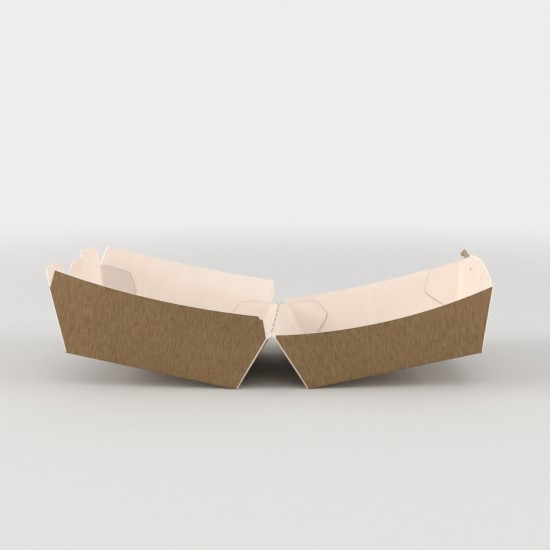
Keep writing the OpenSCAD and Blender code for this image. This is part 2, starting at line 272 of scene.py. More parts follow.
class Value:
    """A number inside a material. Sums and products of it add the Math nodes they need."""

    def __init__(self, paint, socket):
        self.paint = paint
        self.socket = socket

    def math(self, operation, first, second=None):
        sockets = {0: first} if second is None else {0: first, 1: second}
        node = self.paint.node("ShaderNodeMath", {"operation": operation}, sockets)
        return Value(self.paint, node.outputs[0])

    def __add__(self, other):
        return self.math("ADD", self, other)

    def __radd__(self, other):
        return self.math("ADD", other, self)

    def __sub__(self, other):
        return self.math("SUBTRACT", self, other)

    def __rsub__(self, other):
        return self.math("SUBTRACT", other, self)

    def __mul__(self, other):
        return self.math("MULTIPLY", self, other)

    def __rmul__(self, other):
        return self.math("MULTIPLY", other, self)

    def smooth(self, low, high):
        """0 under low and 1 over high, eased between them."""
        node = self.paint.node(
            "ShaderNodeMapRange", {"interpolation_type": "SMOOTHSTEP", "clamp": True},
            {"Value": self, "From Min": low, "From Max": high, "To Min": 0.0, "To Max": 1.0})
        return Value(self.paint, node.outputs["Result"])


class Paint:
    """The nodes of a material, or of the world, in the making."""

    def __init__(self, name, holder=None):
        self.holder = holder or bpy.data.materials.new(name)
        self.holder.use_nodes = True
        self.tree = self.holder.node_tree
        self.tree.nodes.clear()

    def fill(self, socket, value):
        """Links a value or another socket to the socket, or sets its own number or colour."""
        if isinstance(value, Value):
            value = value.socket
        if isinstance(value, bpy.types.NodeSocket):
            self.tree.links.new(value, socket)
        elif socket.type == "RGBA":
            socket.default_value = (*value, 1.0)
        else:
            socket.default_value = value

    def node(self, kind, node_settings, sockets):
        """A node of that kind, its settings set first, then its sockets filled or linked."""
        node = self.tree.nodes.new(kind)
        for name, value in node_settings.items():
            setattr(node, name, value)
        for name, value in sockets.items():
            self.fill(node.inputs[name], value)
        return node

    def blank_place(self):
        """Where a point lies on the flat sheet that the box is folded from, in metres."""
        return self.node("ShaderNodeUVMap", {"uv_map": BLANK_MAP}, {}).outputs["UV"]

    def stretched(self, place, across, along):
        """The place in steps of across and along, so that a noise of scale 1 fits them."""
        node = self.node("ShaderNodeVectorMath", {"operation": "MULTIPLY"},
                         {0: place, 1: (1 / across, 1 / along, 1.0)})
        return node.outputs[0]

    def noise(self, place, detail=2.0, roughness=0.5):
        """Noise from 0 to 1 round 0.5, one step of place to a grain."""
        node = self.node("ShaderNodeTexNoise", {"noise_dimensions": "3D"},
                         {"Vector": place, "Scale": 1.0, "Detail": detail,
                          "Roughness": roughness})
        return Value(self, node.outputs["Fac"])

    def blend(self, share, first, second):
        """One colour passing into another as share goes from 0 to 1."""
        node = self.node("ShaderNodeMix", {"data_type": "RGBA", "clamp_factor": True}, {})
        sockets = {s.identifier: s for s in node.inputs}
        for name, value in (("Factor_Float", share), ("A_Color", first), ("B_Color", second)):
            self.fill(sockets[name], value)
        return next(s for s in node.outputs if s.identifier == "Result_Color")

    def seen(self):
        """1 for what the camera sees, also in a gloss or through glass, and 0 for light."""
        ray = self.node("ShaderNodeLightPath", {}, {}).outputs
        return (Value(self, ray["Is Camera Ray"]) + Value(self, ray["Is Glossy Ray"])
                + Value(self, ray["Is Transmission Ray"]))

    def bump(self, height, distance, strength):
        """The surface's normal, bent by a height from 0 to 1 that stands for distance."""
        node = self.node("ShaderNodeBump", {}, {"Height": height, "Distance": distance,
                                                "Strength": strength})
        return node.outputs["Normal"]

    def finish(self, sockets):
        """Ends the material in one shader with those sockets."""
        shader = self.node("ShaderNodeBsdfPrincipled", {}, sockets)
        self.node("ShaderNodeOutputMaterial", {}, {"Surface": shader.outputs[0]})
        return self.holder


# The name of the map that holds each point's place on the flat sheet
BLANK_MAP = "flat_blank"


def kraft_board(name, light, dark):
    """Brown uncoated kraft: fine fibres up the walls, a looser cross grain and soft clouds."""
    paint = Paint(name)
    place = paint.blank_place()
    fibres = paint.noise(paint.stretched(place, 0.8 * MM, 6.5 * MM), 4.0, 0.6)
    cross = paint.noise(paint.stretched(place, 3.2 * MM, 0.6 * MM), 3.0, 0.55)
    mottle = paint.noise(paint.stretched(place, 2.2 * MM, 3.0 * MM), 3.0, 0.6)
    clouds = paint.noise(paint.stretched(place, 26 * MM, 34 * MM), 2.0, 0.5)
    tone = (fibres - 0.5) * 2.3 + (cross - 0.5) * 0.7 + (mottle - 0.5) * 0.9
    tone = tone + (clouds - 0.5) * 0.5 + 0.42
    ground = paint.blend(tone, light, dark)
    specks = paint.noise(paint.stretched(place, 0.35 * MM, 1.1 * MM), 1.0, 0.5)
    deep = tuple(0.6 * c for c in dark)
    shade = paint.blend(specks.smooth(0.66, 0.74) * 0.35, ground, deep)
    relief = fibres * 0.6 + cross * 0.25 + specks * 0.15
    return paint.finish({
        "Base Color": shade,
        "Roughness": 0.78 + (mottle - 0.5) * 0.16,
        "Specular IOR Level": 0.35,
        "Normal": paint.bump(relief, 0.05 * MM, 0.45),
    })


def cream_board(name, light, dark):
    """Pale, slightly pink inside, smoother than the kraft, with faint clouds."""
    paint = Paint(name)
    place = paint.blank_place()
    clouds = paint.noise(paint.stretched(place, 11 * MM, 15 * MM), 3.0, 0.55)
    mottle = paint.noise(paint.stretched(place, 1.3 * MM, 2.0 * MM), 3.0, 0.6)
    fibres = paint.noise(paint.stretched(place, 0.5 * MM, 3.0 * MM), 3.0, 0.6)
    tone = (clouds - 0.38) * 0.9 + (mottle - 0.5) * 0.5 + (fibres - 0.5) * 0.35
    return paint.finish({
        "Base Color": paint.blend(tone, light, dark),
        "Roughness": 0.6 + (mottle - 0.5) * 0.2,
        "Specular IOR Level": 0.4,
        "Normal": paint.bump(fibres * 0.6 + mottle * 0.4, 0.03 * MM, 0.35),
    })


def cut_edge():
    """The board's pale core where it is cut, with its loose fibres."""
    paint = Paint("cut_edge")
    place = paint.node("ShaderNodeTexCoord", {}, {}).outputs["Object"]
    fibres = paint.noise(paint.stretched(place, 0.5 * MM, 0.5 * MM), 3.0, 0.6)
    board = settings().board
    return paint.finish({
        "Base Color": paint.blend((fibres - 0.45) * 1.4, board.cut, board.cut_dark),
        "Roughness": 0.88,
        "Specular IOR Level": 0.25,
        "Normal": paint.bump(fibres, 0.04 * MM, 0.4),
    })


def worn_cream():
    """The creased wing's lining, greyed as painted shade, with dark specks, also used for shadow lines
    on the tabs.
    """
    paint = Paint("worn_cream")
    place = paint.blank_place()
    specks = paint.noise(paint.stretched(place, 0.45 * MM, 0.6 * MM), 3.0, 0.7)
    clouds = paint.noise(paint.stretched(place, 2.5 * MM, 2.5 * MM), 2.0, 0.5)
    tone = specks.smooth(0.38, 0.62) * 0.7 + clouds * 0.3
    board = settings().board
    return paint.finish({
        "Base Color": paint.blend(tone, board.worn, board.worn_dark),
        "Roughness": 0.85,
        "Specular IOR Level": 0.3,
        "Normal": paint.bump(specks, 0.06 * MM, 0.5),
    })


# The board's finishes, by their place in a piece's material slots
OUTSIDE = 0
INSIDE = 1
CUT = 2
# Darker kraft: a line under the cut rims, and painted shade in the hooks' lips, the tabs' lips and the
# crease's cuts
DARK_KRAFT = 3
SHADED = 4
# Grey lining: painted shade, with specks
SHADE_GREY = 5
TORN = 6


def board_finishes():
    """The board's finishes, in the order of the numbers above, made once."""
    board = settings().board
    if "kraft_board" not in bpy.data.materials:
        kraft_board("kraft_board", board.kraft, board.kraft_dark)
        cream_board("cream_board", board.cream, board.cream_dark)
        cut_edge()
        kraft_board("pressed_rim", board.pressed, board.pressed_dark)
        cream_board("shaded_cream", board.shaded, board.shaded_dark)
        worn_cream()
        kraft_board("torn_kraft", board.torn, board.torn_dark)
    return [bpy.data.materials[name] for name in
            ("kraft_board", "cream_board", "cut_edge", "pressed_rim", "shaded_cream",
             "worn_cream", "torn_kraft")]


# Sheets of board


class Sheet:
    """Folded board in the making: a skin of faces, each point paired with one inside it.

    A corner is (outside point, inside point, place on the flat blank).
    """

    def __init__(self):
        self.numbers = {}
        self.outside = []
        self.inside = []
        self.faces = []

    def number(self, corner):
        """The corner's number, the same for corners that lie in one place."""
        key = tuple(round(c / TINY) for c in (*corner[0], *corner[1]))
        if key not in self.numbers:
            self.numbers[key] = len(self.outside)
            self.outside.append(corner[0])
            self.inside.append(corner[1])
        return self.numbers[key]

    def face(self, corners, finish=OUTSIDE, lining=INSIDE):
        """A face and its lining, left out where its corners fall together."""
        numbers = [self.number(corner) for corner in corners]
        kept = [k for k in range(len(numbers)) if numbers[k] != numbers[k - 1]]
        if len(kept) > 2:
            self.faces.append(([numbers[k] for k in kept], [corners[k][2] for k in kept],
                               finish, lining))

    def grid(self, columns, skip=None, finish=None, lining=None):
        """Faces between columns of corners.

        skip, finish and lining look at a face's two steps. finish and lining give the
        outside's and the inside's finish.
        """
        for i in range(len(columns) - 1):
            for j in range(len(columns[i]) - 1):
                if skip and skip(i, j):
                    continue
                self.face([columns[i][j], columns[i + 1][j], columns[i + 1][j + 1],
                           columns[i][j + 1]], finish(i, j) if finish else OUTSIDE,
                          lining(i, j) if lining else INSIDE)

    def finished(self, name, place, shift=(0.0, 0.0), lip=None):
        """The closed board as an object, each point put through place.

        shift moves it on the flat blank. lip gives a free edge's finish from its point.
        """
        count = len(self.outside)
        points = [place(p) for p in self.outside + self.inside]
        faces, blanks, slots = [], [], []
        uses = {}
        for numbers, flat, finish, lining in self.faces:
            faces.append(numbers)
            blanks.append(flat)
            slots.append(finish)
            faces.append([n + count for n in reversed(numbers)])
            blanks.append(list(reversed(flat)))
            slots.append(lining)
            for k, n in enumerate(numbers):
                edge = (numbers[k - 1], n)
                uses.setdefault(frozenset(edge), []).append((edge, flat[k - 1], flat[k]))
        for used in uses.values():
            if len(used) == 1:
                (a, b), flat_a, flat_b = used[0]
                faces.append([b, a, a + count, b + count])
                blanks.append([flat_b, flat_a, flat_a, flat_b])
                slots.append(lip(self.outside[a]) if lip else CUT)
        mesh = bpy.data.meshes.new(name)
        mesh.from_pydata(points, [], faces)
        blank = mesh.uv_layers.new(name=BLANK_MAP)
        blank.uv.foreach_set("vector", [c + d for flat in blanks for p in flat
                                        for c, d in zip(p, shift)])
        mesh.polygons.foreach_set("material_index", slots)
        for material in board_finishes():
            mesh.materials.append(material)
        return shaded(name, mesh)


def shaded(name, mesh, sharp=32):
    """An object with outward faces, smooth but for its sharp edges and free of loose points."""
    work = bmesh.new()
    work.from_mesh(mesh)
    bmesh.ops.delete(work, geom=[v for v in work.verts if not v.link_faces], context="VERTS")
    bmesh.ops.recalc_face_normals(work, faces=work.faces)
    work.to_mesh(mesh)
    work.free()
    mesh.polygons.foreach_set("use_smooth", [True] * len(mesh.polygons))
    mesh.set_sharp_from_angle(angle=math.radians(sharp))
    piece = bpy.data.objects.new(name, mesh)
    bpy.context.scene.collection.objects.link(piece)
    return piece


def divided(points, step):
    """The points of a path with more put between them, so that no two are over step apart."""
    path = [points[0]]
    for a, b in zip(points, points[1:]):
        far = math.dist(a[:2], b[:2])
        count = max(1, math.ceil(far / step))
        path += [tuple(mix(p, q, k / count) for p, q in zip(a, b)) for k in range(1, count + 1)]
    return path


def marked(path, marks):
    """The path with a point added wherever its first number passes a mark."""
    whole = [path[0]]
    for a, b in zip(path, path[1:]):
        for mark in marks:
            if a[0] < mark < b[0]:
                share = (mark - a[0]) / (b[0] - a[0])
                whole.append(tuple(mix(p, q, share) for p, q in zip(a, b)))
        whole.append(b)
    return whole


def along(table, x):
    """The table's value at x, straight between its points."""
    for (x0, v0), (x1, v1) in zip(table, table[1:]):
        if x <= x1:
            return mix(v0, v1, clamp((x - x0) / max(x1 - x0, 0.1 * TINY)))
    return table[-1][1]


# The trays' shape


# Rows of faces round a bottom fold, up a wall and in a wall's upper part
FOLD_STEPS = 5
WALL_STEPS = 14
TOP_STEPS = 8
# Steps along a side wall's rim, and the longest step along any free edge
RIM_STEPS = 48
WALL_STEP = 1.6 * MM
# Share of a hinge wall's half over which it turns from its corner to the crease's plane
CORNER_SHARE = 0.12
# Gap between a hinge wall's top and the crease's strip
CREASE_GAP = 0.05 * MM
# Least radius inside a fold
LEAST_RADIUS = 0.2 * MM
# How far under the front corner's height a wall's upper rows start
UPPER_DROP = 0.5 * MM
# Height of the darker kraft line under a cut rim, and how much thicker the board is at the rim
RIM_LINE = 0.45 * MM
BURR = 0.12 * MM
# Width of a side wall's bevelled edge, and how far the corner between walls is pulled in
BEVEL = 0.5 * MM
CORNER_IN = 0.2 * MM
# Where a strip of the side wall's edge ends, and its groove's bottom and far side
STRIP = (0.45 * MM, 0.75 * MM, 1.2 * MM)
# Depth of that groove, and the height over the fold in which it reaches its depth
GROOVE = 0.3 * MM
GROOVE_EASE = 2 * MM
# Distance from the crease in which the walls' ripple reaches its height, and its start
RIPPLE_EASE = 20 * MM
RIPPLE_SEED = Vector((3.1, 7.7, 1.9))
# Where the noise is read for the ripple in x and in y
RIPPLE_APART = (Vector((0.0, 0.0, 0.0)), Vector((11.3, 4.9, 2.6)))
# The ripple's most, as a share of what it is at the crease's height
RIPPLE_MOST = 1.3
# Half the distance between the two trays on the flat blank, in metres
BLANK_APART = 0.3
# The worn hinge end of the base's near rim: place along it and height
WORN_END = ((-6.1 * MM, 42.4 * MM), (-4.3 * MM, 42.8 * MM), (-3.7 * MM, 44.1 * MM))


class Tray:
    """Points of one tray's walls, given how far they lie in from the outer face."""

    def __init__(self, own, side):
        shape = settings().shape
        board = settings().board
        self.own = own
        self.shape = shape
        self.side = side
        self.board = board.thickness
        self.radius = board.fold_radius
        self.inner_radius = max(board.fold_radius - board.thickness, LEAST_RADIUS)
        self.front_slope = math.tan(own.front_flare)
        self.side_slope = math.tan(shape.side_flare)
        self.near_slope = math.tan(shape.hinge_near_flare)
        self.far_slope = math.tan(shape.hinge_far_flare)
        self.hinge_slope = math.tan(shape.hinge_flare)
        self.crease_x = -shape.crease_height * self.hinge_slope
        self.blank_shift = (BLANK_APART * (side + 1), 0.0)

    def hinge_x(self, s, z):
        """Where the hinge corner stands at height z, on side s: -1 near, 1 far."""
        return -z * (self.near_slope if s < 0 else self.far_slope)

    def front_x(self, z):
        return self.own.length + z * self.front_slope

    def side_y(self, z):
        return self.own.width / 2 + z * self.side_slope

    def side_share(self, s, x, z):
        """How far along side wall s a place lies, 0 at the hinge corner and 1 at the front."""
        start = self.hinge_x(s, z)
        return (x - start) / (self.front_x(z) - start)

    def cross_share(self, y, z):
        """How far across a front or hinge wall a place lies, 0 at -y and 1 at +y."""
        return 0.5 + y / (2 * self.side_y(z))

    def side_point(self, s, u, z, inset):
        """A point of the side wall s, u along from the hinge corner to the front corner."""
        own = self.own
        arch = 4 * u * (1 - u)
        bow = own.bow * z / (own.rim_hinge - own.rim_sag) * arch
        over = max(0.0, z - self.shape.hinge_corner)
        spread = own.spread * over / (own.rim_hinge - self.shape.hinge_corner) * (1 - u) ** 2
        y = self.side_y(z) + bow + spread - inset
        x = mix(self.hinge_x(s, z) + inset, self.front_x(z) - inset, u)
        return Vector((x, s * y, z))

    def front_point(self, u, z, inset, lean=0.0):
        """A point of the front wall, u along from -y to +y."""
        bow = self.own.front_bow * z / self.own.corner * 4 * u * (1 - u)
        tip = lean * max(0.0, z - self.own.corner) / self.shape.lean_height
        half = self.side_y(z) - inset
        return Vector((self.front_x(z) + bow + tip - inset, mix(-half, half, u), z))

    def hinge_point(self, u, z, inset):
        """A point of the hinge wall, u along from -y to +y."""
        half = self.side_y(z) - inset
        share = clamp((1 - abs(2 * u - 1)) / CORNER_SHARE)
        x = mix(self.hinge_x(u - 0.5, z), -z * self.hinge_slope, share) + inset
        return Vector((x, mix(-half, half, u), z))

    def stood(self, p):
        """Where a tray point is once the box stands open at the crease."""
        tilt = self.shape.tilt
        wander = self.ripple(p)
        dx = p[0] + wander[0] - self.crease_x
        dz = p[2] - self.shape.crease_height
        x = dx * math.cos(tilt) - dz * math.sin(tilt)
        z = dx * math.sin(tilt) + dz * math.cos(tilt)
        return Vector((CREASE.x + self.side * x, p[1] + wander[1], CREASE.z + z))

    def ripple(self, p):
        """Slight unevenness of the board in x and y, none at the bottom panel or the crease."""
        height = clamp(p[2] / self.shape.crease_height, 0, RIPPLE_MOST)
        away = clamp((p[0] - self.crease_x) / RIPPLE_EASE)
        size = self.shape.ripple * height * away
        place = Vector(p) / self.shape.ripple_size + RIPPLE_SEED * (self.side + 2)
        return [size * noise.noise(place + apart) for apart in RIPPLE_APART]

    def rows(self, top, inner, drop=UPPER_DROP):
        """Heights and insets of a wall's points: round the bottom fold, then up to top.

        The upper rows start drop under the front corner's height.
        """
        radius = self.inner_radius if inner else self.radius
        foot = self.board if inner else 0.0
        extra = self.board if inner else 0.0
        turns = [math.radians(90 * k / FOLD_STEPS) for k in range(FOLD_STEPS)]
        fold = [(foot + radius * (1 - math.cos(a)), extra + radius * (1 - math.sin(a)))
                for a in turns]
        middle = min(self.own.corner, top) - drop
        under = top - min(RIM_LINE, 0.8 * drop)
        low = [(mix(foot + radius, middle, k / WALL_STEPS), extra) for k in range(WALL_STEPS)]
        high = [(mix(middle, under, k / (TOP_STEPS - 1)), extra) for k in range(TOP_STEPS)]
        return fold + low + high + [(top, extra + (BURR if inner else 0.0))]

    def column(self, heights, point, flat, groove=0.0):
        """One column of corners up a wall, by its point and flat functions.

        heights holds the outer face's rows and the inner face's, each as (height, inset).
        groove sinks the outer face, where the board turns in beside another wall's edge.
        """
        corners = []
        for (z, inset), (inner_z, inner_inset) in zip(*heights):
            sunk = groove * clamp((z - 2 * self.radius) / GROOVE_EASE)
            corners.append((point(z, inset + sunk), point(inner_z, inner_inset), flat(z)))
        return corners

    def both_rows(self, top):
        return self.rows(top, False), self.rows(top, True)

    def side_rim(self, s):
        """The free edge of side wall s as (x, z), from the hinge corner to the front one."""
        own, shape = self.own, self.shape
        near = s < 0
        cut = own.hinge_cut_near if near else own.hinge_cut_far
        low_cut = shape.low_cut_near if near else shape.low_cut_far
        front_cut = own.front_cut_near if near else own.front_cut_far
        at_hinge = own.near_hinge if near else own.rim_hinge
        at_front = own.near_front if near else own.rim_front
        sag = own.near_sag if near else own.rim_sag
        start = self.hinge_x(s, at_hinge) + cut
        end = self.front_x(at_front) - front_cut
        rim = [(self.hinge_x(s, shape.hinge_corner), shape.hinge_corner)]
        if own.rim_hinge > shape.low_cut_height:
            rim.append((self.hinge_x(s, shape.low_cut_height) + low_cut,
                        shape.low_cut_height))
            rim += WORN_END if near else ()
        # A low cut's points stand for the rim up to the last of them
        cut_end = rim[-1][0] if len(rim) > 1 else -math.inf
        for k in range(RIM_STEPS + 1):
            share = k / RIM_STEPS
            x = mix(start, end, share)
            if x > cut_end:
                rim.append((x, mix(at_hinge, at_front, share) - 4 * sag * share * (1 - share)))
        rim.append((self.front_x(own.corner), own.corner))
        return divided(rim, WALL_STEP)

    def side_wall(self, sheet, s):
        """A side wall, its bevelled cut edge beside each corner."""
        bevel = BEVEL / (self.front_x(0) - self.hinge_x(s, 0))
        places = marked([(clamp(self.side_share(s, x, top)), top)
                         for x, top in self.side_rim(s)], (bevel, 1 - bevel))
        columns = []
        for u, top in places:

            def point(z, inset, u=u):
                return self.side_point(s, u, z, inset)

            def flat(z, u=u):
                return (mix(self.hinge_x(s, z), self.front_x(z), u),
                        s * (self.own.width / 2 + z))

            groove = CORNER_IN * clamp(1 - min(u, 1 - u) / bevel)
            columns.append(self.column(self.both_rows(top), point, flat, groove))
        rim = len(columns[0]) - 2

        def finish(i, j):
            middle = (places[i][0] + places[i + 1][0]) / 2
            if min(middle, 1 - middle) < bevel:
                return CUT if j >= FOLD_STEPS else OUTSIDE
            return DARK_KRAFT if j == rim else OUTSIDE

        sheet.grid(columns, finish=finish, lining=lambda i, j: CUT if j == rim else INSIDE)
        return [column[0] for column in columns]

    def groove_at(self, u, z):
        """How deep a cross wall's face lies at share u, beside the side wall's edge."""
        away = self.side_y(z) * (1 - abs(2 * u - 1))
        if away < 10 * TINY:
            return CORNER_IN
        return GROOVE * clamp(1 - abs(away - STRIP[1]) / (STRIP[1] - STRIP[0] - 10 * TINY))

    def with_strips(self, edge):
        """A cross wall's half edge, (y, z, lean) from the corner in, with its strip's columns."""
        corner, after = edge[0], edge[1]
        reach = self.side_y(after[1]) - after[0]
        strips = [tuple(mix(a, b, away / reach) for a, b in zip(corner, after))
                  for away in STRIP]
        return [corner] + strips + divided([strips[-1]] + edge[1:], WALL_STEP)[1:]

    def joined(self, near, far):
        """The whole edge from -y to +y, given its halves from each corner to the middle."""
        whole = [(-y, z, lean) for y, z, lean in near]
        return whole + [point for point in reversed(far) if point[0] > TINY]

    def cross_wall(self, sheet, edge, point_at, flat_x, wide_strip=None, pale_rim=False):
        """A front or hinge wall under its free edge, given as (y, z, lean).

        Over row wide_strip, its near end shows the side wall's cut edge as wide as the groove.
        """
        columns = []
        for y, top, lean in edge:
            u = clamp(self.cross_share(y, top))

            def point(z, inset, u=u, lean=lean):
                return point_at(u, z, inset, lean)

            def flat(z, u=u):
                return (flat_x(z), mix(-self.side_y(z), self.side_y(z), u))

            columns.append(self.column(self.both_rows(top), point, flat,
                                       self.groove_at(u, top)))
        last = len(columns) - 2
        rim = len(columns[0]) - 2

        def finish(i, j):
            if j < FOLD_STEPS:
                return OUTSIDE
            wide = wide_strip and i <= len(STRIP) and j > wide_strip
            if i == 0 or i == last or wide:
                return CUT
            return DARK_KRAFT if j == rim else OUTSIDE

        sheet.grid(columns, finish=finish,
                   lining=lambda i, j: CUT if pale_rim and j == rim else INSIDE)
        return [column[0] for column in columns]

    def hinge_wall(self, sheet, wide_strip=None):
        shape = self.shape
        top = shape.crease_height - CREASE_GAP
        near, far = (self.with_strips([
            (self.side_y(shape.hinge_corner), shape.hinge_corner, 0.0),
            (crease_end, top, 0.0),
            (0.0, top, 0.0)]) for crease_end in (shape.crease_near, shape.crease_far))

        def point_at(u, z, inset, lean):
            return self.hinge_point(u, z, inset)

        edge = self.joined(near, far)
        return self.cross_wall(sheet, edge, point_at, lambda z: -z, wide_strip)

    def closed(self, sheet, near, front, far, back, name, lip=None):
        """Adds the bottom panel to the walls' feet and makes the tray an object."""
        ring = near + front[1:] + far[-2::-1] + back[-2:0:-1]
        sheet.face(ring)
        return sheet.finished(name, self.stood, self.blank_shift, lip)


# Height over the front corners at which the gaps beside the flap start
GAP_FOOT = 2.4 * MM
# How much narrower a gap is at its foot, on each side, and up to what height over it
GAP_IN = 0.1 * MM
GAP_RISE = 0.6 * MM
# An ear's outer and inner corner, cut off in steps: in from the corner and down from it
EAR_OUTER = ((0.0, 0.5 * MM), (0.3 * MM, 0.1 * MM), (0.9 * MM, 0.0))
EAR_INNER = ((0.8 * MM, 0.0), (0.0, 0.4 * MM))
# Height of the ears' slanted inner ends, and how far out from the gap they end
EAR_SLANT = 4.3 * MM
EAR_OFF = 0.6 * MM
# Steps round a corner of the flap, and how far in from its side they start
FLAP_STEPS = 8
FLAP_IN = 0.7 * MM


def base_front_edge(tray):
    """Half of the base's front edge, with an ear and half the flap, from the +y corner in."""
    own = tray.own
    foot = own.corner + GAP_FOOT
    half = [(tray.side_y(own.corner), own.corner, 0.0)]
    half += [(own.ear_out - aside, own.ear_height - down, own.ear_lean)
             for aside, down in EAR_OUTER]
    half += [(own.ear_in + aside, own.ear_in_height - down, own.ear_lean)
             for aside, down in EAR_INNER]
    half += [
        (own.gap + EAR_OFF, own.ear_in_height - EAR_SLANT, own.ear_lean),
        (own.gap + GAP_IN, foot + GAP_RISE, own.ear_lean),
        (own.gap, foot, 0.0),
        (own.flap_half + GAP_IN, foot, -own.flap_lean),
        (own.flap_half, foot + GAP_RISE, -own.flap_lean)]
    for k in range(FLAP_STEPS + 1):
        turn = math.radians(90 * k / FLAP_STEPS)
        y = own.flap_half - FLAP_IN - own.flap_radius * (1 - math.cos(turn))
        z = own.flap_height - own.flap_radius * (1 - math.sin(turn))
        half.append((y, z, -own.flap_lean))
    half.append((0.0, own.flap_height, -own.flap_lean))
    return half


def base_board():
    """The base tray's folded board."""
    tray = Tray(settings().base, BASE_SIDE)
    sheet = Sheet()
    near = tray.side_wall(sheet, -1)
    far = tray.side_wall(sheet, 1)
    half = tray.with_strips(base_front_edge(tray))
    edge = tray.joined(half, half)
    front = tray.cross_wall(sheet, edge, tray.front_point, lambda z: tray.own.length + z,
                            pale_rim=True)
    back = tray.hinge_wall(sheet)
    return tray.closed(sheet, near, front, far, back, "base_board")


# Least height of a wing over its slit, and the height over it at which a wing ends
WING_LEAST = 0.15 * MM
WING_TOE = 0.5 * MM
# Distance from the corners in which the rows by the hooks reach down to their depth
HOOK_EASE = 12 * MM
# Longest step across the wall, and across a hook
TONGUE_STEP = 1.5 * MM
HOOK_STEP = 0.3 * MM
# Where the hooks lie, from the wall's middle, and how far under the slit their lips start to get
# painted shade
HOOK_ZONE = (11 * MM, 20 * MM)
HOOK_SHADE = 0.2 * MM
# How far under the slit's height its lower lip starts
SLIT_DROP = 0.1 * MM
# The slits' slanted inner ends, near and far: upper end, lower end and width
HOOKS = (((14.9 * MM, 35.6 * MM), (18.6 * MM, 33.1 * MM), 0.4 * MM),
         ((16.6 * MM, 35.6 * MM), (12.9 * MM, 34.1 * MM), 2.2 * MM))


class LidFront:
    """The lid's front wall: the tongue with its slits, hooks and wings."""

    def __init__(self, tray):
        self.tray = tray
        self.own = tray.own
        self.over_slit = self.own.slit_height + self.own.slit_width
        self.wing_end = self.arch_y(self.over_slit + WING_TOE)

    def arch(self, y):
        """Height of the tongue's arch at y."""
        own = self.own
        return own.tongue_height - own.tongue_radius + math.sqrt(own.tongue_radius ** 2 - y * y)

    def arch_y(self, z):
        """Where the arch passes height z."""
        own = self.own
        return math.sqrt(own.tongue_radius ** 2
                         - (z - own.tongue_height + own.tongue_radius) ** 2)

    def fold(self, y):
        """Height of the creased wing's fold."""
        own = self.own
        share = (y - own.wing_fold) / (own.wing_foot - own.wing_fold)
        return mix(self.arch(own.wing_fold) - own.wing_step, own.wing_foot_height, share)

    def top(self, y):
        """Height of the free edge, under the fold where the wing is creased."""
        height = self.arch(y)
        if y > self.own.wing_fold:
            height = min(height, self.fold(y))
        return max(height, self.over_slit + WING_LEAST)

    def in_hook(self, y, z):
        """Whether a place lies in the slanted cut at a slit's inner end."""
        (top_y, top_z), (low_y, low_z), width = HOOKS[y > 0]
        middle = mix(top_y, low_y, (z - top_z) / (low_z - top_z))
        return z > low_z and abs(abs(y) - middle) < width / 2

    def in_slit(self, y):
        """Whether the slit has opened the wall at y."""
        (top_y, _), _, width = HOOKS[y > 0]
        return abs(y) > top_y - width / 2

    def slit_under(self, y):
        """Height of the slit's lower lip, which runs out to the front corner."""
        own = self.own
        corner = self.tray.side_y(own.corner)
        return mix(own.slit_height - SLIT_DROP, own.corner,
                   clamp((abs(y) - own.tongue_half) / (corner - own.tongue_half)))

    def steps(self):
        """Where the wall's columns stand on the slit's line, from -y to +y."""
        own = self.own
        corner = self.tray.side_y(own.corner)
        whole = []
        for s in (-1, 1):
            (top_y, _), (low_y, _), width = HOOKS[s > 0]
            hook = [min(top_y, low_y) - width / 2, max(top_y, low_y) + width / 2]
            half = [0.0] + hook + [self.wing_end]
            half += [corner - away for away in reversed(STRIP)] + [corner]
            half = {y for y, _ in divided([(y, 0.0) for y in half], TONGUE_STEP)}
            half |= {y for y, _ in divided([(y, 0.0) for y in hook], HOOK_STEP)}
            if s > 0:
                half |= {own.wing_fold, own.wing_foot}
            whole += [s * y for y in half]
        return sorted(set(whole))

    def column(self, y):
        """One column of corners, with a row on each lip of the slit."""
        tray, own = self.tray, self.own
        under = self.slit_under(y)
        corner = tray.side_y(own.corner)
        u = clamp(tray.cross_share(y, under))
        over = self.over_slit
        top = self.top(y)
        for _ in range(3):
            top = self.top((2 * u - 1) * tray.side_y(top))
        rise = [mix(over, top, k / TOP_STEPS) for k in range(TOP_STEPS + 1)]
        drop = mix(UPPER_DROP, own.hook_depth, clamp((corner - abs(y)) / HOOK_EASE))
        outer = tray.rows(under, False, drop) + [(z, 0.0) for z in rise]
        inner = tray.rows(under, True, drop)[:-1]
        inner += [(z, tray.board) for z in [under] + rise]

        def point(z, inset):
            return tray.front_point(u, z, inset)

        def flat(z):
            return (own.length + z, mix(-tray.side_y(z), tray.side_y(z), u))

        return tray.column((outer, inner), point, flat, tray.groove_at(u, under))

    def build(self, sheet):
        own = self.own
        steps = self.steps()
        columns = [self.column(y) for y in steps]
        slit = FOLD_STEPS + WALL_STEPS + TOP_STEPS
        hook_low = FOLD_STEPS + WALL_STEPS
        last = len(columns) - 2
        rim = len(columns[0]) - 2

        def skip(i, j):
            middle = (steps[i] + steps[i + 1]) / 2
            if j < slit:
                height = (columns[i][j][0].z + columns[i][j + 1][0].z) / 2
                return j >= hook_low and self.in_hook(middle, height)
            if j == slit:
                return self.in_slit(middle)
            return middle > own.wing_foot or abs(middle) > self.wing_end

        def finish(i, j):
            if i in (0, last):
                return CUT if j >= FOLD_STEPS else OUTSIDE
            return DARK_KRAFT if j == rim else OUTSIDE

        sheet.grid(columns, skip, finish, lambda i, j: CUT if j == rim else INSIDE)
        return [column[0] for column in columns]


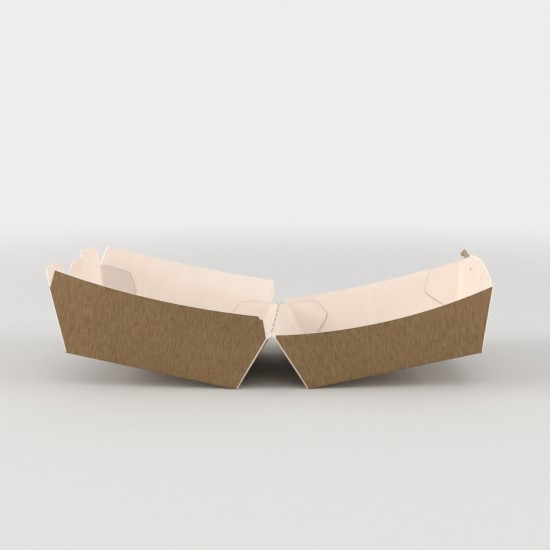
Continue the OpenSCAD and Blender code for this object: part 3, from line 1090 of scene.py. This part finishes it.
def lid_board():
    """The lid tray's folded board."""
    tray = Tray(settings().lid, LID_SIDE)
    own = tray.own
    sheet = Sheet()
    near = tray.side_wall(sheet, -1)
    far = tray.side_wall(sheet, 1)
    front = LidFront(tray).build(sheet)
    back = tray.hinge_wall(sheet, wide_strip=FOLD_STEPS + WALL_STEPS - 2)

    def lip(p):
        """The lips at the hooks, low in the slanted cuts, are darker kraft as painted shade, and all
        other edges pale core.
        """
        by_hook = HOOK_ZONE[0] < abs(p[1]) < HOOK_ZONE[1]
        low = own.slit_height - own.hook_depth < p[2] < own.slit_height - HOOK_SHADE
        return DARK_KRAFT if by_hook and low and p[0] > own.length else CUT

    return tray.closed(sheet, near, front, far, back, "lid_board", lip)


# Glued tabs


# How deep a tab's inner face sinks in the wall that it comes from
SINK = 0.04 * MM
# Distance of a tab's outer face from its inner one, in boards: at its root, and what is
# added where it lies against the side wall
TAB_ROOT = 0.7
TAB_FLAT = 0.8
# Steps round the corner, along a tab and up it, and its least height
TAB_TURNS = 5
TAB_STEPS = 12
TAB_ROWS = 10
TAB_LEAST = 0.1 * MM
# Width of the painted shadow line along a tab's lower edge
LOWER_SHADOW_LINE = 0.3 * MM
# Height over which a tab's lip is its upper one
UPPER_LIPS = 29.2 * MM
# How far past the corner between the walls a tab lies on the flat blank
TAB_BLANK = 1 * MM
# A tab's lower and upper outline, as shares of its length and of its height
HINGE_TAB_LOW = ((0, 0), (0.525, 0.33), (0.712, 0.43), (0.884, 0.53), (0.975, 0.62), (1, 0.67))
HINGE_TAB_HIGH = ((0, 1.02), (0.518, 0.996), (0.828, 0.935), (0.879, 0.91), (0.929, 0.817),
                  (0.955, 0.713), (1, 0.681))
FRONT_TAB_LOW = ((0, 0), (0.48, 0.31), (0.762, 0.44), (0.956, 0.55), (1, 0.62))
FRONT_TAB_HIGH = ((0, 1.01), (0.301, 1.02), (0.684, 0.997), (0.806, 0.978), (0.864, 0.945),
                  (0.927, 0.836), (0.976, 0.72), (1, 0.648))


def tab(tray, sheet, s, at_front):
    """One tab, from the inside of its wall round the corner and along the side wall."""
    sizes = settings().tabs
    own = tray.own
    end = own.corner if at_front else tray.shape.hinge_corner
    length = sizes.front_length if at_front else sizes.hinge_length
    low = FRONT_TAB_LOW if at_front else HINGE_TAB_LOW
    high = FRONT_TAB_HIGH if at_front else HINGE_TAB_HIGH
    bottom, top = sizes.foot, end - sizes.drop
    radius = sizes.corner_radius
    board = tray.board
    inward = -1 if at_front else 1
    rim = tray.side_rim(s)

    def side_y(x, z):
        return tray.side_point(s, clamp(tray.side_share(s, x, z)), z, 0).y

    def corner(away, z, turn):
        """Both faces, on the round where turn is under 90 degrees and past it after that."""
        wall_x = tray.front_x(z) - board if at_front else tray.hinge_x(s, z) + board
        cross_point = tray.front_point if at_front else tray.hinge_point
        root_y = side_y(wall_x, z) - s * (radius + 2 * board)
        root = cross_point(clamp(tray.cross_share(root_y, z)), z, board).x
        follow = (root - inward * SINK - wall_x) * (1 - math.sin(turn))
        centre = wall_x + follow + inward * max(radius, away)
        faces = []
        behind = board * (TAB_ROOT + TAB_FLAT * math.sin(turn) ** 2)
        for distance in (radius + behind, radius):
            x = centre - inward * distance * math.cos(turn)
            back = radius + 2 * board - distance * math.sin(turn)
            faces.append(Vector((x, side_y(x, z) - s * back, z)))
        a = own.length + z if at_front else -z
        return (faces[0], faces[1], (a - inward * away, s * (tray.side_y(z) + TAB_BLANK)))

    turns = [math.radians(90 * k / TAB_TURNS) for k in range(TAB_TURNS + 1)]
    places = [(radius * (1 - math.cos(turn)), turn) for turn in turns]
    shares = sorted({k / TAB_STEPS for k in range(TAB_STEPS + 1)}
                    | {share for share, _ in low + high})
    places += [(length * share, turns[-1]) for share in shares if length * share > radius]
    columns = []
    for away, turn in places:
        wall_x = tray.front_x(top) if at_front else tray.hinge_x(s, top)
        under = along(rim, wall_x + inward * away) - sizes.under_rim
        z0 = mix(bottom, top, along(low, away / length))
        z1 = max(min(mix(bottom, top, along(high, away / length)), under), z0 + TAB_LEAST)
        line = min(LOWER_SHADOW_LINE, 0.5 * (z1 - z0))
        heights = [z0] + [mix(z0 + line, z1, k / TAB_ROWS) for k in range(TAB_ROWS + 1)]
        columns.append([corner(away, z, turn) for z in heights])
    face = SHADED if at_front and tray.side == BASE_SIDE else INSIDE
    # A tab's lowest row is a grey painted shadow line along its lower edge
    sheet.grid(columns, lining=lambda i, j: SHADE_GREY if j == 0 else face)


def tabs(own, side, name):
    """A tray's four tabs as one piece."""
    tray = Tray(own, side)
    sheet = Sheet()
    for s in (-1, 1):
        tab(tray, sheet, s, False)
        tab(tray, sheet, s, True)

    def lip(p):
        """The ends' lips are dark and the upper lips hardly darker than the lining, both painted
        shadow lines.
        """
        return DARK_KRAFT if p[2] < UPPER_LIPS else SHADE_GREY

    return sheet.finished(name, tray.stood, tray.blank_shift, lip)


# The crease between the trays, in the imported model's own frame


# Share of the strip's width at each side that runs straight down its wall
STRAIGHT = 0.2
# Distance of the fold's outer face from the crease's line, and of a cut's bottom
FOLD_OUT = 0.03 * MM
CUT_BOTTOM = 0.12 * MM
# How far the fold wanders, over what distance, and how far its cuts are stepped aside
WANDER = 0.3 * MM
WANDER_SIZE = 7 * MM
ASIDE = 0.18 * MM
# Longest step along the crease
CREASE_STEP = 1.2 * MM
# The torn ears' bend and thickness, and the rows of faces up them
EAR_BEND = 0.5 * MM
EAR_BOARD = 0.3 * MM
EAR_ROWS = 4


def hinge_crease():
    """The fold that joins the hinge walls, cut in dashes, with two torn ears at its end."""
    shape = settings().shape
    sizes = settings().crease
    board = settings().board.thickness
    lean = shape.hinge_flare + shape.tilt
    near, far = -shape.crease_near, shape.crease_far
    sheet = Sheet()
    bend = 1 - 2 * STRAIGHT
    # Steps over the fold from the base's wall to the lid's, as shares, with a cut's lips
    groove = 0.5 * sizes.cut_width / (board * (math.pi - 2 * lean)) * bend
    shares = [k / 10 for k in range(5)] + [0.5 - groove, 0.5, 0.5 + groove]
    shares += [k / 10 for k in range(6, 11)]
    middle = shares.index(0.5)

    def section(share, radius):
        """Both faces at a share of the way over the fold."""
        turn = mix(math.pi - lean, lean, clamp((share - STRAIGHT) / bend))
        normal = Vector((math.cos(turn), 0.0, math.sin(turn)))
        down = Vector((-1.0 if share < 0.5 else 1.0, 0.0, 0.0)) * math.sin(lean)
        down.z = -math.cos(lean)
        reach = sizes.reach * max(0.0, STRAIGHT - share, share - 1 + STRAIGHT) / STRAIGHT
        return (normal * FOLD_OUT + down * reach, normal * radius + down * reach)

    cuts = []
    y = near + 0.5 * sizes.bridge
    while y < far:
        cuts.append((y, min(y + sizes.cut, far)))
        y += sizes.cut + sizes.bridge
    marks = sorted({mark for cut in cuts for mark in cut} | {near, far})
    steps = [y for y, _ in divided([(y, 0.0) for y in marks], CREASE_STEP)]

    def is_cut(y):
        return any(a - 10 * TINY < y < b + 10 * TINY for a, b in cuts)

    columns = []
    for y in steps:
        wander = WANDER * noise.noise(Vector((y / WANDER_SIZE, 5.3, 0.7)))
        step = ASIDE * sum(1 if y > a else -1 for a, _ in cuts) / len(cuts)
        column = []
        for share in shares:
            deep = share == 0.5 and is_cut(y)
            outer, inner = section(share, CUT_BOTTOM if deep else board)
            aside = (wander + step) * (1 - abs(2 * share - 1)) ** 2
            shift = Vector((aside, y, 0.0))
            column.append((CREASE + outer + shift, CREASE + inner + shift, (share * MM, y)))
        columns.append(column)

    def lining(i, j):
        centre = (steps[i] + steps[i + 1]) / 2
        # The lips of each cut are darker kraft, painted shade in the cut
        return DARK_KRAFT if j in (middle - 1, middle) and is_cut(centre) else INSIDE

    sheet.grid(columns, lining=lining)
    for outline in TORN_EARS:
        torn_ear(sheet, outline, far + sizes.ear_y)
    return sheet.finished("hinge_crease", lambda p: p, (2 * BLANK_APART, 0.0))


# The torn ears' outlines, base and lid: x, lower and upper height, from the crease
TORN_EARS = (
    ((-2.2 * MM, 0.1 * MM, 0.3 * MM), (-1.5 * MM, -0.2 * MM, 0.95 * MM),
     (-0.8 * MM, -0.5 * MM, 1.7 * MM), (-0.4 * MM, -0.6 * MM, 0.9 * MM),
     (-0.05 * MM, -0.5 * MM, 0.0)),
    ((0.05 * MM, -0.5 * MM, 0.05 * MM), (0.7 * MM, -0.7 * MM, 1.2 * MM),
     (1.45 * MM, -0.5 * MM, 2.1 * MM), (2.3 * MM, -0.2 * MM, 1.1 * MM),
     (3.1 * MM, 0.1 * MM, 0.3 * MM)),
)


def torn_ear(sheet, outline, y):
    """A small pointed scrap at the crease's far end, bent in over its own tray."""
    columns = []
    for x, low, high in outline:
        column = []
        for row in range(EAR_ROWS + 1):
            rise = row / EAR_ROWS
            place = CREASE + Vector((x, y + EAR_BEND * rise * rise, mix(low, high, rise)))
            column.append((place, place + Vector((0.0, EAR_BOARD, 0.0)), (x, rise * MM)))
        columns.append(column)
    sheet.grid(columns, finish=lambda i, j: SHADED, lining=lambda i, j: SHADED)


# The lid's creased wing and the flecks on its rim


# Columns and rows of faces over the creased wing, and the share of them up to its tip
WING_COLUMNS = 16
WING_ROWS = 8
TIP_SHARE = 0.8
# How far the wing's edges reach under its neighbours', and the bulge of its face
WING_UNDER = 0.1 * MM
WING_BULGE = 0.3 * MM
# The torn scrap's reach and curl, its columns and rows, and the wing's row at its foot
SCRAP_REACH = 2.6 * MM
SCRAP_CURL = 1.1 * MM
SCRAP_COLUMNS = 8
SCRAP_ROWS = 6
SCRAP_FOOT = 3
# Its least width and its tip's share of that, and where on a round its outline starts
SCRAP_LEAST = 0.25
SCRAP_TIP = 0.4
SCRAP_START = 0.15
# The part of a half turn that it curls, its thickness in boards, and its height
SCRAP_TURN = 0.8
SCRAP_BOARD = 0.7
SCRAP_HEIGHT = 3 * MM


def creased_wing():
    """The far wing's end, folded up past the tongue's arch, with a torn scrap at its side."""
    tray = Tray(settings().lid, LID_SIDE)
    own = tray.own
    front = LidFront(tray)
    board = tray.board
    sheet = Sheet()

    def at(out, y, z):
        return tray.front_point(tray.cross_share(y, z), z, 0) + Vector((out, 0, 0))

    arch = front.arch(own.wing_fold)
    head = (0.0, own.wing_fold, arch - 0.5 * WING_UNDER)
    start = (0.0, own.wing_fold, arch - own.wing_step - WING_UNDER)
    foot = (0.0, own.wing_foot, own.wing_foot_height - WING_UNDER)
    tip = tuple(own.wing_tip)
    shoulder = tuple(own.wing_shoulder)
    columns = []
    for i in range(WING_COLUMNS + 1):
        u = i / WING_COLUMNS
        low = tuple(mix(a, b, u) for a, b in zip(start, foot))
        if u < TIP_SHARE:
            a, b, share = head, tip, u / TIP_SHARE
        else:
            a, b, share = tip, shoulder, (u - TIP_SHARE) / (1 - TIP_SHARE)
        high = tuple(mix(p, q, share) for p, q in zip(a, b))
        column = []
        for j in range(WING_ROWS + 1):
            v = j / WING_ROWS
            out, y, z = (mix(p, q, v) for p, q in zip(low, high))
            out += WING_BULGE * math.sin(math.pi * v) * u
            outer = at(out, y, z)
            column.append((outer, outer + Vector((-board, 0, 0)), (z, y)))
        columns.append(column)
    # Above its lowest row the wing's lining is grey, painted shade with specks
    sheet.grid(columns, lining=lambda i, j: SHADE_GREY if j > 0 else INSIDE)
    torn_scrap(sheet, columns[-1], board)
    return sheet.finished("creased_wing", tray.stood, tray.blank_shift)


def torn_scrap(sheet, edge, board):
    """A rounded scrap that bulges from the wing's free edge, its kraft side to the front."""
    foot, head = edge[SCRAP_FOOT][0], edge[-1][0]
    columns = []
    for i in range(SCRAP_COLUMNS + 1):
        u = i / SCRAP_COLUMNS
        wide = mix(SCRAP_LEAST, 1, math.sqrt(max(0.0, 1 - mix(SCRAP_START, 1, u) ** 2)))
        if i == SCRAP_COLUMNS:
            wide *= SCRAP_TIP
        curl = SCRAP_CURL * math.sin(math.pi * SCRAP_TURN * u)
        aside = Vector((-SCRAP_REACH * u, -curl, 0))
        column = []
        for j in range(SCRAP_ROWS + 1):
            v = 0.5 + (j / SCRAP_ROWS - 0.5) * wide
            place = foot.lerp(head, v) + aside
            lining = place + Vector((0, SCRAP_BOARD * board, 0))
            column.append((place, lining, (SCRAP_REACH * u, v * SCRAP_HEIGHT)))
        columns.append(column)
    sheet.grid(columns, finish=lambda i, j: TORN)


# Flecks on the lid's near rim: place along it, width, drop and shape
FLECKS = (
    (-3.4 * MM, 2.1 * MM, 0.7 * MM, 1.3),
    (5.4 * MM, 1.6 * MM, 0.5 * MM, 4.1),
    (6.9 * MM, 1.3 * MM, 0.6 * MM, 8.6),
)
FLECK_COLUMNS = 5
FLECK_ROWS = 4
# How far a fleck stands over the rim, out from the wall, further out in its middle, and in it
FLECK_OVER = 0.15 * MM
FLECK_OUT = 0.12 * MM
FLECK_BULGE = 0.28 * MM
FLECK_IN = 0.1 * MM


def paper_flecks():
    """Three scraps of board left on the lid's near rim, as the die cut them."""
    tray = Tray(settings().lid, LID_SIDE)
    own = tray.own
    sheet = Sheet()
    for x, wide, drop, seed in FLECKS:
        top = min(tray.side_rim(-1), key=lambda p: abs(p[0] - x))[1]
        columns = []
        for i in range(FLECK_COLUMNS + 1):
            u = i / FLECK_COLUMNS
            column = []
            for j in range(FLECK_ROWS + 1):
                v = j / FLECK_ROWS
                lump = noise.noise(Vector((3 * u, 3 * v, seed)))
                px = x + wide * (u - 0.5) * (1 - 0.3 * abs(2 * v - 1))
                pz = top + FLECK_OVER - drop * v * (0.7 + 0.3 * math.sin(math.pi * u))
                wall = tray.side_point(-1, tray.side_share(-1, px, pz), pz, 0)
                bulge = FLECK_BULGE * math.sin(math.pi * u) * math.sin(math.pi * v)
                out = FLECK_OUT * (1 + lump) + bulge
                outer = wall + Vector((0, -out, 0))
                column.append((outer, wall + Vector((0, FLECK_IN, 0)), (px, pz)))
            columns.append(column)
        sheet.grid(columns, finish=lambda i, j: TORN)
    return sheet.finished("paper_flecks", tray.stood, tray.blank_shift, lambda p: TORN)


# Stage


# The floor's near and far end, its curve's radius and steps, the backdrop's top and half
# its width, in metres
FLOOR_NEAR = -3.0
FLOOR_FAR = 2.0
CURVE = 0.8
CURVE_STEPS = 16
BACKDROP_TOP = 3.0
HALF_WIDTH = 4.0
# Distances from the box at which the floor starts and ends passing into a plain colour
PLAIN_FROM = 0.25
PLAIN_BY = 1.0
# The lamps: place, width and power. Each points at AIM, in the middle of the box.
LAMPS = {
    "left_lamp": ((-1.6, -0.4, 0.7), 1.0, 17.5),
    "right_lamp": ((1.7, -0.4, 0.7), 1.0, 14),
    "front_lamp": ((0.3, -1.1, 1.6), 1.2, 5),
}
AIM = Vector((0.0, 0.0, 0.03))
SKY_STRENGTH = 0.5


def floor():
    """A wide floor that curves up to a backdrop far behind the box."""
    profile = [(FLOOR_NEAR, 0.0), (FLOOR_FAR, 0.0)]
    for k in range(1, CURVE_STEPS + 1):
        turn = math.radians(90 * k / CURVE_STEPS)
        profile.append((FLOOR_FAR + CURVE * math.sin(turn), CURVE * (1 - math.cos(turn))))
    profile.append((FLOOR_FAR + CURVE, BACKDROP_TOP))
    mesh = bmesh.new()
    rows = [[mesh.verts.new((x, y, z)) for y, z in profile] for x in (-HALF_WIDTH, HALF_WIDTH)]
    for k in range(len(profile) - 1):
        mesh.faces.new((rows[0][k], rows[1][k], rows[1][k + 1], rows[0][k + 1]))
    data = bpy.data.meshes.new("studio_floor")
    mesh.to_mesh(data)
    mesh.free()
    data.polygons.foreach_set("use_smooth", [True] * len(data.polygons))
    data.materials.append(studio_paper())
    piece = bpy.data.objects.new("studio_floor", data)
    bpy.context.scene.collection.objects.link(piece)
    return piece


def studio_paper():
    """Pale paper, shadowed near the box and shown to the camera as plain far behind it."""
    paint = Paint("studio_paper")
    place = paint.node("ShaderNodeTexCoord", {}, {}).outputs["Object"]
    grain = paint.noise(paint.stretched(place, 6 * MM, 6 * MM), 2.0, 0.5)
    floor_colour = settings().stage.floor
    darker = tuple(0.97 * c for c in floor_colour)
    paper = paint.node("ShaderNodeBsdfPrincipled", {}, {
        "Base Color": paint.blend(grain, floor_colour, darker),
        "Roughness": 0.9,
        "Specular IOR Level": 0.2,
    })
    plain = paint.node("ShaderNodeEmission", {}, {"Color": settings().stage.backdrop,
                                                  "Strength": 1.0})
    away = paint.node("ShaderNodeVectorMath", {"operation": "LENGTH"}, {0: place})
    far = Value(paint, away.outputs["Value"]).smooth(PLAIN_FROM, PLAIN_BY)
    both = paint.node("ShaderNodeMixShader", {}, {0: paint.seen() * far,
                                                  1: paper.outputs[0], 2: plain.outputs[0]})
    paint.node("ShaderNodeOutputMaterial", {}, {"Surface": both.outputs[0]})
    return paint.holder


def lamp(name, place, size, power):
    """A round soft lamp that points at the box."""
    light = bpy.data.lights.new(name, "AREA")
    light.shape = "DISK"
    light.size = size
    light.energy = power
    lit = bpy.data.objects.new(name, light)
    lit.location = place
    lit.rotation_euler = (AIM - Vector(place)).to_track_quat("-Z", "Y").to_euler()
    bpy.context.scene.collection.objects.link(lit)


def sky(strength):
    """Soft light from all round, which the camera sees as the backdrop's plain colour."""
    world = bpy.data.worlds.new("studio_sky")
    paint = Paint("studio_sky", world)
    light = paint.node("ShaderNodeBackground", {}, {"Color": (1.0, 1.0, 1.0),
                                                    "Strength": strength})
    plain = paint.node("ShaderNodeBackground", {}, {"Color": settings().stage.backdrop,
                                                    "Strength": 1.0})
    both = paint.node("ShaderNodeMixShader", {}, {0: paint.seen(), 1: light.outputs[0],
                                                  2: plain.outputs[0]})
    paint.node("ShaderNodeOutputWorld", {}, {"Surface": both.outputs[0]})
    bpy.context.scene.world = world


def camera():
    """The camera, its view shifted as the picture is framed."""
    stage = settings().stage
    data = bpy.data.cameras.new("photo_camera")
    data.sensor_width = 36.0
    data.lens = stage.focus / stage.frame_size * data.sensor_width
    data.shift_x = (stage.frame_size / 2 - stage.centre_x) / stage.frame_size
    data.shift_y = (stage.centre_y - stage.frame_size / 2) / stage.frame_size
    data.dof.use_dof = False
    data.clip_start = 0.01
    data.clip_end = 20.0
    eye = bpy.data.objects.new("photo_camera", data)
    eye.location = CREASE + Vector(stage.camera)
    eye.rotation_euler = Euler((math.radians(90) - stage.pitch, 0.0, stage.yaw))
    bpy.context.scene.collection.objects.link(eye)
    bpy.context.scene.camera = eye


# Operators


class BURGERBOX_OT_base_tray(bpy.types.Operator):
    """Fold the base tray, with its ears and flap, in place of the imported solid"""
    bl_idname = "burger_box.base_tray"
    bl_label = "Base Tray"

    def execute(self, context):
        piece = base_board()
        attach(piece, "base")
        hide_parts("base_tray")
        return {"FINISHED"}


class BURGERBOX_OT_lid_tray(bpy.types.Operator):
    """Fold the lid tray, with its slit tongue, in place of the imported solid"""
    bl_idname = "burger_box.lid_tray"
    bl_label = "Lid Tray"

    def execute(self, context):
        piece = lid_board()
        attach(piece, "lid")
        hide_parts("lid_tray")
        return {"FINISHED"}


class BURGERBOX_OT_corner_tabs(bpy.types.Operator):
    """Glue the four corner tabs inside each tray"""
    bl_idname = "burger_box.corner_tabs"
    bl_label = "Corner Tabs"

    def execute(self, context):
        box = settings()
        for own, side, body in ((box.base, BASE_SIDE, "base"), (box.lid, LID_SIDE, "lid")):
            piece = tabs(own, side, body + "_tabs")
            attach(piece, body)
        return {"FINISHED"}


class BURGERBOX_OT_hinge_crease(bpy.types.Operator):
    """Join the trays with the perforated crease"""
    bl_idname = "burger_box.hinge_crease"
    bl_label = "Hinge Crease"

    def execute(self, context):
        piece = hinge_crease()
        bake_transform(piece)
        return {"FINISHED"}


class BURGERBOX_OT_creased_wing(bpy.types.Operator):
    """Add the tongue's creased wing and the scraps left on the lid's rim"""
    bl_idname = "burger_box.creased_wing"
    bl_label = "Creased Wing and Flecks"

    def execute(self, context):
        for piece in (creased_wing(), paper_flecks()):
            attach(piece, "lid")
        return {"FINISHED"}


class BURGERBOX_OT_stage(bpy.types.Operator):
    """Set the floor, the lamps and the camera"""
    bl_idname = "burger_box.stage"
    bl_label = "Stage"

    def execute(self, context):
        floor()
        for name, values in LAMPS.items():
            lamp(name, *values)
        sky(SKY_STRENGTH)
        camera()
        context.scene.view_settings.view_transform = "Standard"
        return {"FINISHED"}


class BURGERBOX_PT_box(bpy.types.Panel):
    """Sizes, colours and building steps of the burger box"""
    bl_idname = "BURGERBOX_PT_box"
    bl_label = "Burger Box"
    bl_space_type = "VIEW_3D"
    bl_region_type = "UI"
    bl_category = "Burger Box"

    def draw(self, context):
        layout = self.layout
        for title, step, parts in PANEL_ROWS:
            box = layout.box()
            box.label(text=title)
            for part in parts:
                group = getattr(settings(), part)
                for name in type(group).__annotations__:
                    box.prop(group, name)
            if step:
                box.operator(step)


PANEL_ROWS = (
    ("Board and Shape", None, ("board", "shape")),
    ("Base Tray", "burger_box.base_tray", ("base",)),
    ("Lid Tray", "burger_box.lid_tray", ("lid",)),
    ("Corner Tabs", "burger_box.corner_tabs", ("tabs",)),
    ("Hinge Crease", "burger_box.hinge_crease", ("crease",)),
    ("Creased Wing and Flecks", "burger_box.creased_wing", ()),
    ("Stage", "burger_box.stage", ("stage",)),
)

CLASSES = (
    BoardSettings, ShapeSettings, BaseSettings, LidSettings, TabSettings, CreaseSettings,
    StageSettings, BurgerBoxSettings, BURGERBOX_OT_base_tray, BURGERBOX_OT_lid_tray,
    BURGERBOX_OT_corner_tabs, BURGERBOX_OT_hinge_crease, BURGERBOX_OT_creased_wing,
    BURGERBOX_OT_stage, BURGERBOX_PT_box,
)


def register():
    for part in CLASSES:
        bpy.utils.register_class(part)
    bpy.types.Scene.burger_box = PointerProperty(type=BurgerBoxSettings)


def unregister():
    del bpy.types.Scene.burger_box
    for part in reversed(CLASSES):
        bpy.utils.unregister_class(part)


def main():
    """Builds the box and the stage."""
    register()
    steps = bpy.ops.burger_box
    steps.base_tray()
    steps.lid_tray()
    steps.corner_tabs()
    steps.hinge_crease()
    steps.creased_wing()
    steps.stage()
    bpy.context.view_layer.update()


if __name__ == "__main__":
    main()
